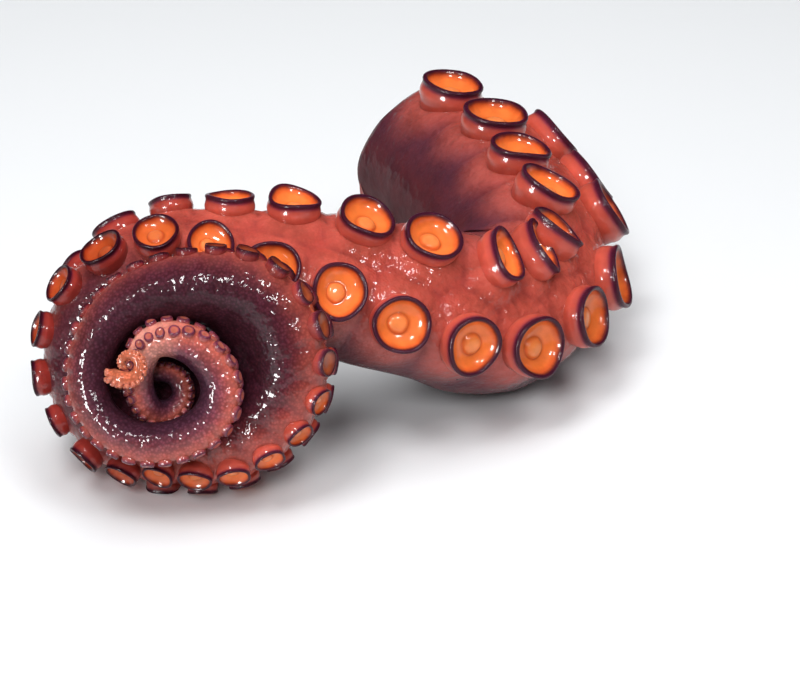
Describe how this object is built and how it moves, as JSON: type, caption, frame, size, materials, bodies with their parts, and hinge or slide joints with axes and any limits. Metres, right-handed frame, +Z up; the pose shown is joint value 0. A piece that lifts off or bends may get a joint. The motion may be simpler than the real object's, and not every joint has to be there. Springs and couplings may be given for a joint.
{
  "type": "cooked octopus arm",
  "caption": "Boiled octopus arm with two rows of suckers, bent on the surface and wound up into a leaning coil at its thin end.",
  "frame": {"origin": "middle of the bounding box's underside, on the surface that the arm rests on", "axes": "+Z up, -Y towards the face of the coil, +X from the coil towards the bend of the thick end"},
  "size_m": [0.1508, 0.1606, 0.0645],
  "materials": {
    "boiled_octopus": "wet glossy skin, coral to dark purple, with orange sucker bowls"
  },
  "bodies": {
    "root": {"octopus_arm": "boiled_octopus"}
  },
  "joints": []
}
